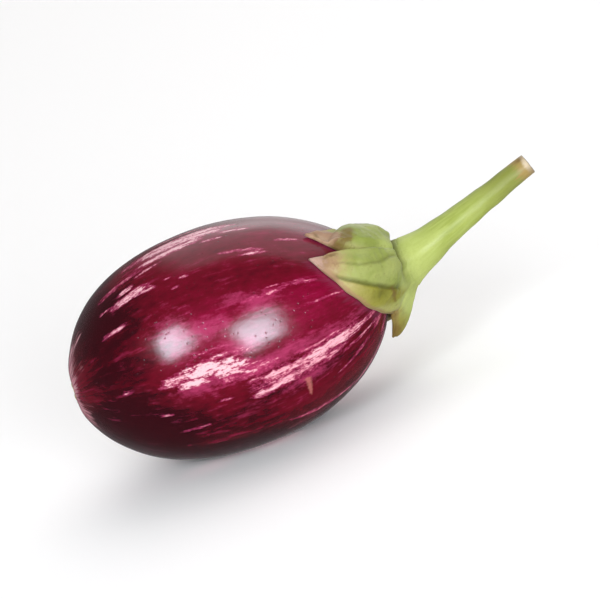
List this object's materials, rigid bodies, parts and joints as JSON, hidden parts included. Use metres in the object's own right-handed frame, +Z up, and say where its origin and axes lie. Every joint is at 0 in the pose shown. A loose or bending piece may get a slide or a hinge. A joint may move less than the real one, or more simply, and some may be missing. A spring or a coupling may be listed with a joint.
{
  "type": "small striped eggplant",
  "caption": "Small egg-shaped purple eggplant with pale streaks, a green five-lobed calyx and a slanting cut stem, lying on a small flat spot",
  "frame": {"origin": "middle of the small flat spot that the fruit lies on", "axes": "+X along the fruit from the blossom scar to the stem, +Z up from the surface it lies on, -Y the side that the viewer sees"},
  "size_m": [0.1148, 0.052, 0.0511],
  "materials": {
    "skin": "gloss",
    "calyx": "matte"
  },
  "bodies": {
    "root": {"fruit": "skin", "calyx_with_stem": "calyx"}
  },
  "joints": []
}
